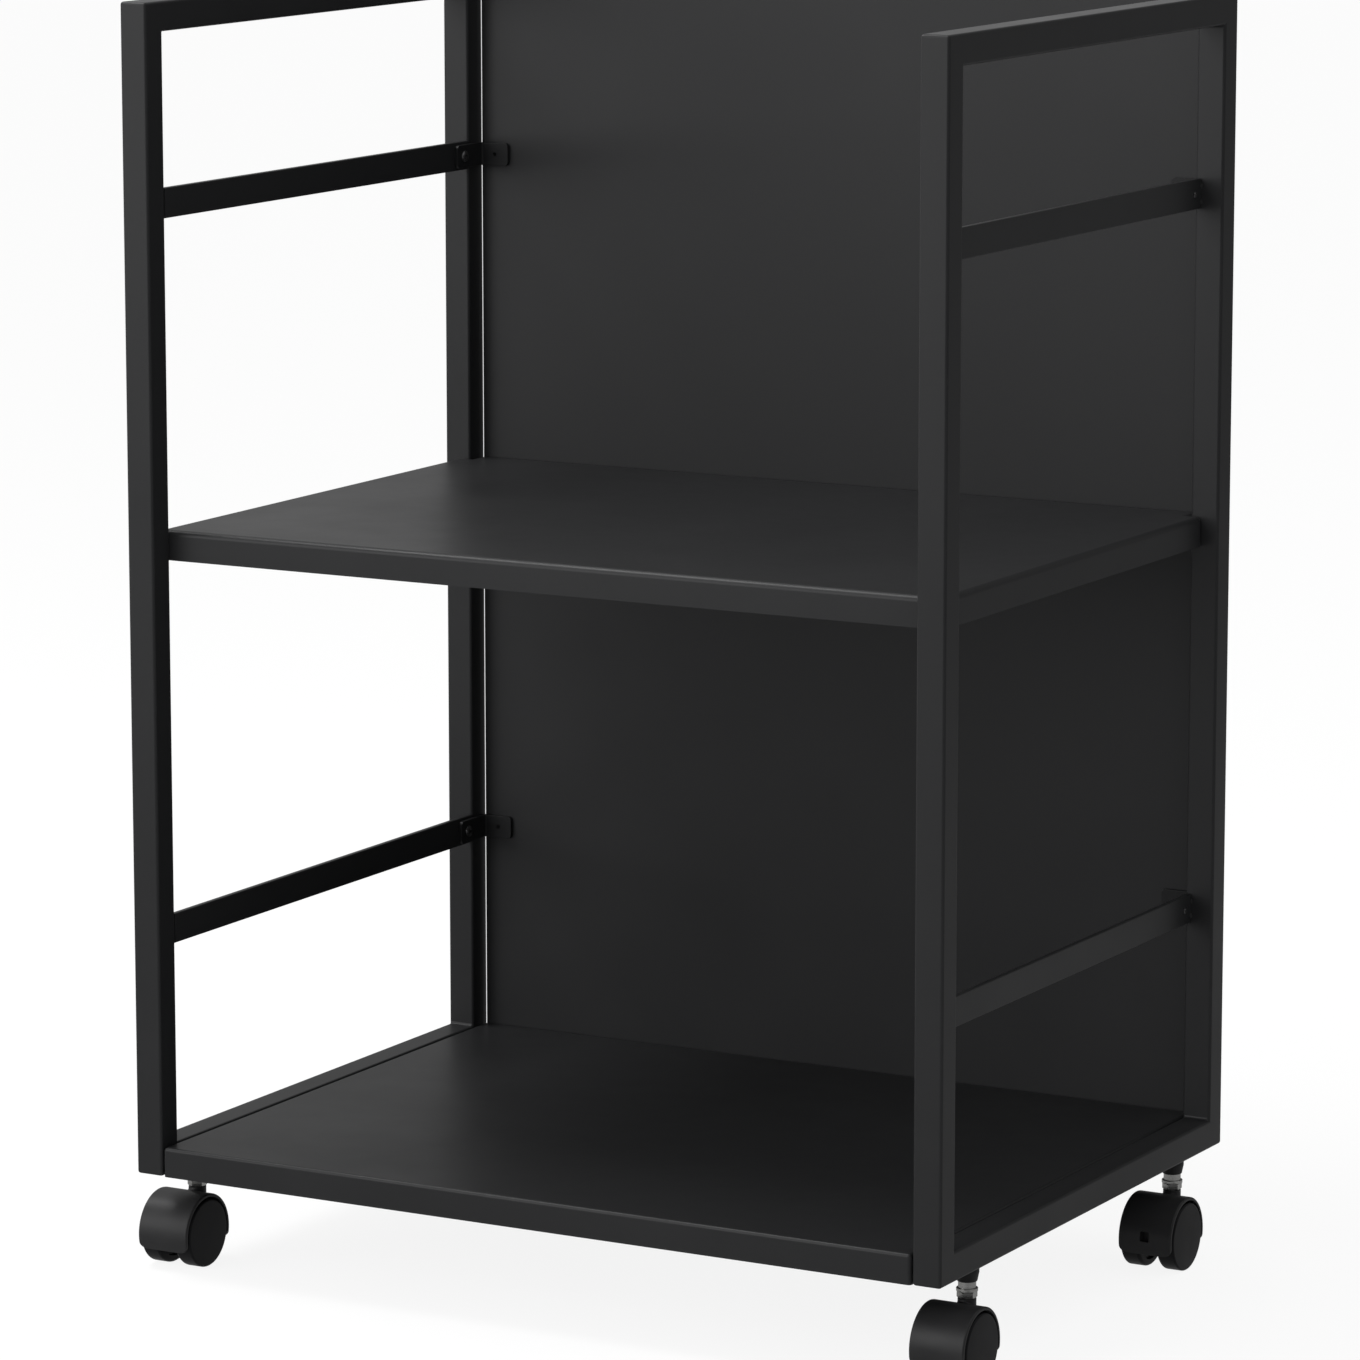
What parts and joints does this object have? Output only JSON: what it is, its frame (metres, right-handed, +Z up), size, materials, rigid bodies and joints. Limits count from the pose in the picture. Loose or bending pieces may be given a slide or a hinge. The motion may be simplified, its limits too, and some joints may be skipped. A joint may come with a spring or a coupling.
{
  "type": "storage trolley",
  "caption": "Open-front black steel storage trolley: square-tube side frames, two folded sheet shelves, a sheet back and twin-wheel swivel casters.",
  "frame": {"origin": "on the floor under the middle of the trolley, at the bottom centre of its box", "axes": "+X to the trolley's right side frame, +Y to its back panel, +Z up"},
  "size_m": [0.6204, 0.425, 0.85],
  "materials": {
    "tube_coat": "satin black powder coat on square tube and bars",
    "sheet_coat": "satin black powder coat on sheet",
    "screw_black": "blackened screws",
    "zinc": "bright zinc plating",
    "hood_plastic": "moulded black nylon",
    "wheel_plastic": "moulded black nylon, satin",
    "bush_plastic": "moulded black nylon, matt"
  },
  "bodies": {
    "trolley": {"left_front_post": "tube_coat", "left_rear_post": "tube_coat", "left_top_rail": "tube_coat", "left_bottom_rail": "tube_coat", "left_upper_bar": "tube_coat", "left_lower_bar": "tube_coat", "right_front_post": "tube_coat", "right_rear_post": "tube_coat", "right_top_rail": "tube_coat", "right_bottom_rail": "tube_coat", "right_upper_bar": "tube_coat", "right_lower_bar": "tube_coat", "bottom_shelf": "sheet_coat", "middle_shelf": "sheet_coat", "back_panel": "sheet_coat", "left_upper_bracket": "tube_coat", "left_lower_bracket": "tube_coat", "right_upper_bracket": "tube_coat", "right_lower_bracket": "tube_coat", "bracket_screws": "screw_black", "panel_screws": "screw_black", "shelf_screws": "screw_black", "shelf_rivet_nuts": "zinc", "stem_washers": "zinc", "front_left_bush": "bush_plastic", "front_left_stem": "zinc", "front_right_bush": "bush_plastic", "front_right_stem": "zinc", "rear_left_bush": "bush_plastic", "rear_left_stem": "zinc", "rear_right_bush": "bush_plastic", "rear_right_stem": "zinc"},
    "front_left_caster": {"front_left_hood": "hood_plastic", "front_left_axle": "zinc"},
    "front_left_outer_wheel": {"front_left_wheel_outer": "wheel_plastic"},
    "front_left_inner_wheel": {"front_left_wheel_inner": "wheel_plastic"},
    "front_right_caster": {"front_right_hood": "hood_plastic", "front_right_axle": "zinc"},
    "front_right_outer_wheel": {"front_right_wheel_outer": "wheel_plastic"},
    "front_right_inner_wheel": {"front_right_wheel_inner": "wheel_plastic"},
    "rear_left_caster": {"rear_left_hood": "hood_plastic", "rear_left_axle": "zinc"},
    "rear_left_outer_wheel": {"rear_left_wheel_outer": "wheel_plastic"},
    "rear_left_inner_wheel": {"rear_left_wheel_inner": "wheel_plastic"},
    "rear_right_caster": {"rear_right_hood": "hood_plastic", "rear_right_axle": "zinc"},
    "rear_right_outer_wheel": {"rear_right_wheel_outer": "wheel_plastic"},
    "rear_right_inner_wheel": {"rear_right_wheel_inner": "wheel_plastic"}
  },
  "joints": [
    {"name": "front_left_swivel", "type": "hinge", "parent": "trolley", "child": "front_left_caster", "pos_m": [-0.29, -0.155, 0.05], "axis": [0, 0, 1], "continuous": true},
    {"name": "front_left_outer_roll", "type": "hinge", "parent": "front_left_caster", "child": "front_left_outer_wheel", "pos_m": [-0.29, -0.172, 0.023], "axis": [1, 0, 0], "continuous": true},
    {"name": "front_left_inner_roll", "type": "hinge", "parent": "front_left_caster", "child": "front_left_inner_wheel", "pos_m": [-0.29, -0.172, 0.023], "axis": [1, 0, 0], "continuous": true},
    {"name": "front_right_swivel", "type": "hinge", "parent": "trolley", "child": "front_right_caster", "pos_m": [0.29, -0.155, 0.05], "axis": [0, 0, 1], "continuous": true},
    {"name": "front_right_outer_roll", "type": "hinge", "parent": "front_right_caster", "child": "front_right_outer_wheel", "pos_m": [0.29, -0.172, 0.023], "axis": [1, 0, 0], "continuous": true},
    {"name": "front_right_inner_roll", "type": "hinge", "parent": "front_right_caster", "child": "front_right_inner_wheel", "pos_m": [0.29, -0.172, 0.023], "axis": [1, 0, 0], "continuous": true},
    {"name": "rear_left_swivel", "type": "hinge", "parent": "trolley", "child": "rear_left_caster", "pos_m": [-0.29, 0.155, 0.05], "axis": [0, 0, 1], "continuous": true},
    {"name": "rear_left_outer_roll", "type": "hinge", "parent": "rear_left_caster", "child": "rear_left_outer_wheel", "pos_m": [-0.29, 0.138, 0.023], "axis": [1, 0, 0], "continuous": true},
    {"name": "rear_left_inner_roll", "type": "hinge", "parent": "rear_left_caster", "child": "rear_left_inner_wheel", "pos_m": [-0.29, 0.138, 0.023], "axis": [1, 0, 0], "continuous": true},
    {"name": "rear_right_swivel", "type": "hinge", "parent": "trolley", "child": "rear_right_caster", "pos_m": [0.29, 0.155, 0.05], "axis": [0, 0, 1], "continuous": true},
    {"name": "rear_right_outer_roll", "type": "hinge", "parent": "rear_right_caster", "child": "rear_right_outer_wheel", "pos_m": [0.29, 0.138, 0.023], "axis": [1, 0, 0], "continuous": true},
    {"name": "rear_right_inner_roll", "type": "hinge", "parent": "rear_right_caster", "child": "rear_right_inner_wheel", "pos_m": [0.29, 0.138, 0.023], "axis": [1, 0, 0], "continuous": true}
  ]
}
